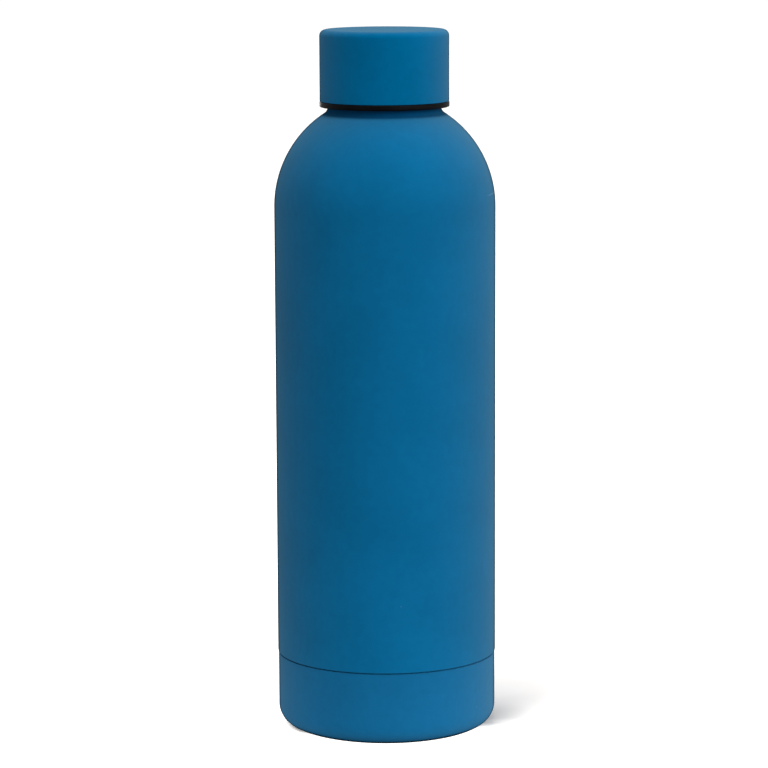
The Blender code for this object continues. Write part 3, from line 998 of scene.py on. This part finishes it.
def pale_floor():
    """White floor that shows the camera one surface and sends the object another light."""
    g = material_graph("pale_floor")
    place = g.object_coords()
    low, high = (scaled(FLOOR_TINT, FLOOR_ALBEDO * level) for level in (0.99, 1.0))
    tone = g.ramp(g.noise(place, scale=3.0, detail=3.0), low, high)
    diffuse = g.node("ShaderNodeBsdfDiffuse", {"Color": tone, "Roughness": 0.6}).outputs[0]
    away = g.node("ShaderNodeVectorMath", {0: place}, operation="LENGTH").outputs["Value"]

    def emission(strength):
        inputs = {"Color": grey(1.0), "Strength": strength}
        return g.node("ShaderNodeEmission", inputs).outputs[0]

    glow = emission(floor_glow(g, place, away))
    seen = g.node("ShaderNodeAddShader", {0: diffuse, 1: glow}).outputs[0]
    bounce = emission(floor_bounce(g, away))
    return g.finish(g.mix_shader(g.camera_ray(), bounce, seen))


floor = link_new("floor", floor_grid())
floor.location.z = -FLOOR_DROP
floor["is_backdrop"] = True
floor.data.materials.append(pale_floor())


# ------------------------------------------------------------------ world
def studio_world():
    """White to the camera, an even room to the object."""
    g = Graph(bpy.data.worlds.new("studio"), output="ShaderNodeOutputWorld")

    def background(strength):
        inputs = {"Color": grey(1.0), "Strength": strength}
        return g.node("ShaderNodeBackground", inputs).outputs[0]

    room = background(strength=1.0)
    backdrop = background(strength=1.05)
    return g.finish(g.mix_shader(g.camera_ray(), room, backdrop))


scene = bpy.context.scene
scene.world = studio_world()

# ------------------------------------------------------------------ lamps
LAMP_DISTANCE = 1.6
MID_BOTTLE = (0.0, 0.0, 0.12)


def softbox(name, azimuth, elevation, width, power, target=MID_BOTTLE, height=None):
    """An area light. Azimuth runs from the camera's side towards the right, in degrees."""
    lamp = bpy.data.lights.new(name, "AREA")
    lamp.shape = "RECTANGLE"
    lamp.size = width
    lamp.size_y = height or width
    lamp.energy = power
    obj = link_new(name, lamp)
    turn, rise = math.radians(azimuth), math.radians(elevation)
    aim = Vector(target)
    obj.location = aim + LAMP_DISTANCE * Vector(
        (math.sin(turn) * math.cos(rise), -math.cos(turn) * math.cos(rise), math.sin(rise))
    )
    obj.rotation_mode = "QUATERNION"
    obj.rotation_quaternion = (aim - obj.location).to_track_quat("-Z", "Y")
    return obj


def light_only(name, lamps, receivers):
    """Makes the lamps light nothing but the receivers."""
    group = bpy.data.collections.new(name)
    for obj in receivers:
        group.objects.link(obj)
    for lamp in lamps:
        lamp.light_linking.receiver_collection = group


boxes = [
    softbox("side_softbox", azimuth=60.0, elevation=20.0, width=0.9, power=15.2),
    softbox("front_softbox", azimuth=30.0, elevation=25.0, width=0.9, power=12.3),
    softbox("top_softbox", azimuth=0.0, elevation=85.0, width=0.9, power=24.0),
    softbox("back_softbox", azimuth=188.0, elevation=6.0, width=0.7, power=9.0),
]
ground = softbox(
    "ground_light",
    azimuth=-46.0,
    elevation=60.0,
    width=1.0,
    height=1.4,
    power=48.0,
    target=(0.0, 0.0, 0.0),
)
# the ground light comes from the left and lights only the floor, so the shadow falls to the right
light_only("lit_by_boxes", boxes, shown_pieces())
light_only("lit_by_ground", [ground], [floor])

# ------------------------------------------------------------------ camera
CAMERA_DOWN = 8.935  # degrees below level
CAMERA_ROLL = -0.233  # degrees about its own view axis

camera_data = bpy.data.cameras.new("camera")
camera_data.sensor_width = 36.0
camera_data.lens = 156.22
camera_data.clip_start = 0.01
camera_data.clip_end = 50.0
camera = link_new("camera", camera_data)
camera.rotation_mode = "XYZ"
camera.location = (-0.0005, -1.0500, 0.2752)
pitch = Matrix.Rotation(math.radians(90.0 - CAMERA_DOWN), 4, "X")
roll = Matrix.Rotation(math.radians(CAMERA_ROLL), 4, "Z")
camera.rotation_euler = (pitch @ roll).to_euler()
scene.camera = camera

# the camera backs off and rises as the cap lifts, to keep it in the frame; at rest it adds nothing
follow = camera.constraints.new("TRANSFORM")
follow.target = bpy.data.objects["body:cap"]
follow.map_from = "LOCATION"
follow.from_min_z, follow.from_max_z = 0.0, 0.02
follow.map_to = "LOCATION"
follow.map_to_y_from = follow.map_to_z_from = "Z"
follow.to_min_y, follow.to_max_y = 0.0, -0.11
follow.to_min_z, follow.to_max_z = 0.0, 0.0287

scene.view_settings.view_transform = "Standard"
scene.view_settings.look = "None"
